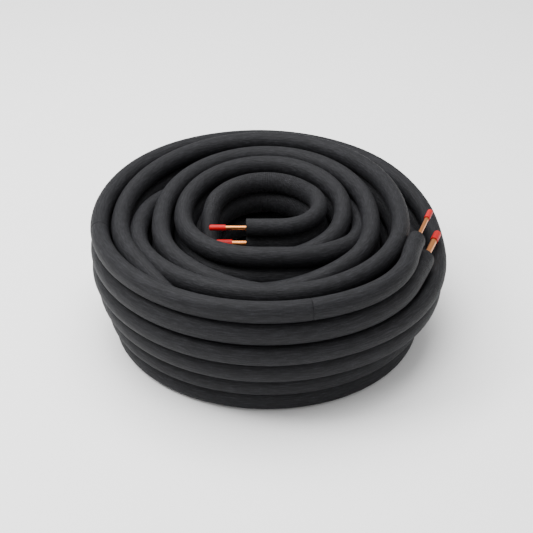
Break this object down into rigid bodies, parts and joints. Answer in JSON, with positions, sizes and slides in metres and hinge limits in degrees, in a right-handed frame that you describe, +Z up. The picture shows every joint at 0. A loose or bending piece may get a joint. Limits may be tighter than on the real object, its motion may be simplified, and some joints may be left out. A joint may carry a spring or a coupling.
{
  "type": "insulated copper line set coil",
  "caption": "Coiled refrigerant line set for a small split air conditioner: thin and thick copper tube in black foam sleeves, red push-on caps on the bare ends.",
  "frame": {"origin": "on the floor, in the middle of the coil's bounding box", "axes": "+Z up along the coil's axis; the outer ends lie at the right front and point along +Y, the inner ends point along -X"},
  "size_m": [0.5294, 0.531, 0.2015],
  "materials": {
    "foam": "matte",
    "copper": "satin",
    "cap": "gloss"
  },
  "bodies": {
    "root": {"wound_coil": "foam", "liquid_sleeve_outer_end": "foam", "suction_sleeve_outer_end": "foam", "liquid_sleeve_inner_end": "foam", "suction_sleeve_inner_end": "foam", "liquid_tube_outer_end": "copper", "suction_tube_outer_end": "copper", "liquid_tube_inner_end": "copper", "suction_tube_inner_end": "copper", "liquid_cap_outer": "cap", "suction_cap_outer": "cap", "liquid_cap_inner": "cap", "suction_cap_inner": "cap"}
  },
  "joints": []
}
